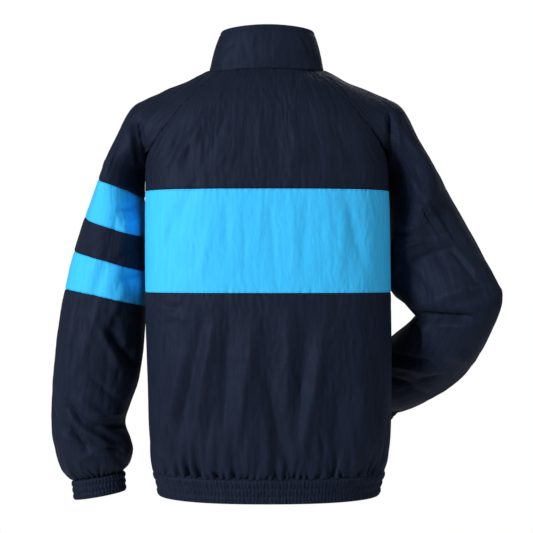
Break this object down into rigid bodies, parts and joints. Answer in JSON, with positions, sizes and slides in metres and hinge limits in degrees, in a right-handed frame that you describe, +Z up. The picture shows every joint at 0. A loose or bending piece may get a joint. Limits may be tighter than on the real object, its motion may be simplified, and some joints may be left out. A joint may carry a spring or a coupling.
{
  "type": "windbreaker jacket",
  "caption": "Nylon windbreaker in its worn shape: raglan sleeves, stand collar, front zip, elastic hem and cuffs, contrast band across the back and stripes round one sleeve.",
  "frame": {"origin": "the middle of the neck at shoulder height, where the wearer's shoulders hold the jacket", "axes": "+X to the wearer's right, +Y to the wearer's front, +Z up; the back faces -Y, as in the picture"},
  "size_m": [0.7699, 0.3258, 0.8123],
  "materials": {
    "navy_cloth": "crinkled nylon with a soft sheen",
    "blue_cloth": "crinkled nylon with a soft sheen",
    "elastic_cloth": "the same nylon ruched over elastic",
    "zip_tape": "woven tape, matte",
    "zip_metal": "satin dark lacquer"
  },
  "bodies": {
    "garment": {"back_yoke": "navy_cloth", "back_band": "blue_cloth", "back_lower": "navy_cloth", "front_left": "navy_cloth", "front_right": "navy_cloth", "sleeve_left_top": "navy_cloth", "sleeve_left_stripe_upper": "blue_cloth", "sleeve_left_middle": "navy_cloth", "sleeve_left_stripe_lower": "blue_cloth", "sleeve_left_lower": "navy_cloth", "sleeve_right_top": "navy_cloth", "sleeve_right_upper": "navy_cloth", "sleeve_right_forearm": "navy_cloth", "cuff_left": "elastic_cloth", "cuff_right": "elastic_cloth", "hem_band": "elastic_cloth", "collar": "navy_cloth", "zip_tape_left": "zip_tape", "zip_tape_right": "zip_tape", "zip_slider": "zip_metal", "zip_box": "zip_metal"},
    "zip_pull": {"zip_pull": "zip_metal"}
  },
  "joints": [
    {"name": "pull_swing", "type": "hinge", "parent": "garment", "child": "zip_pull", "pos_m": [0, 0.08908, -0.01428], "axis": [1, 0, 0], "range_deg": [0, 150]}
  ]
}
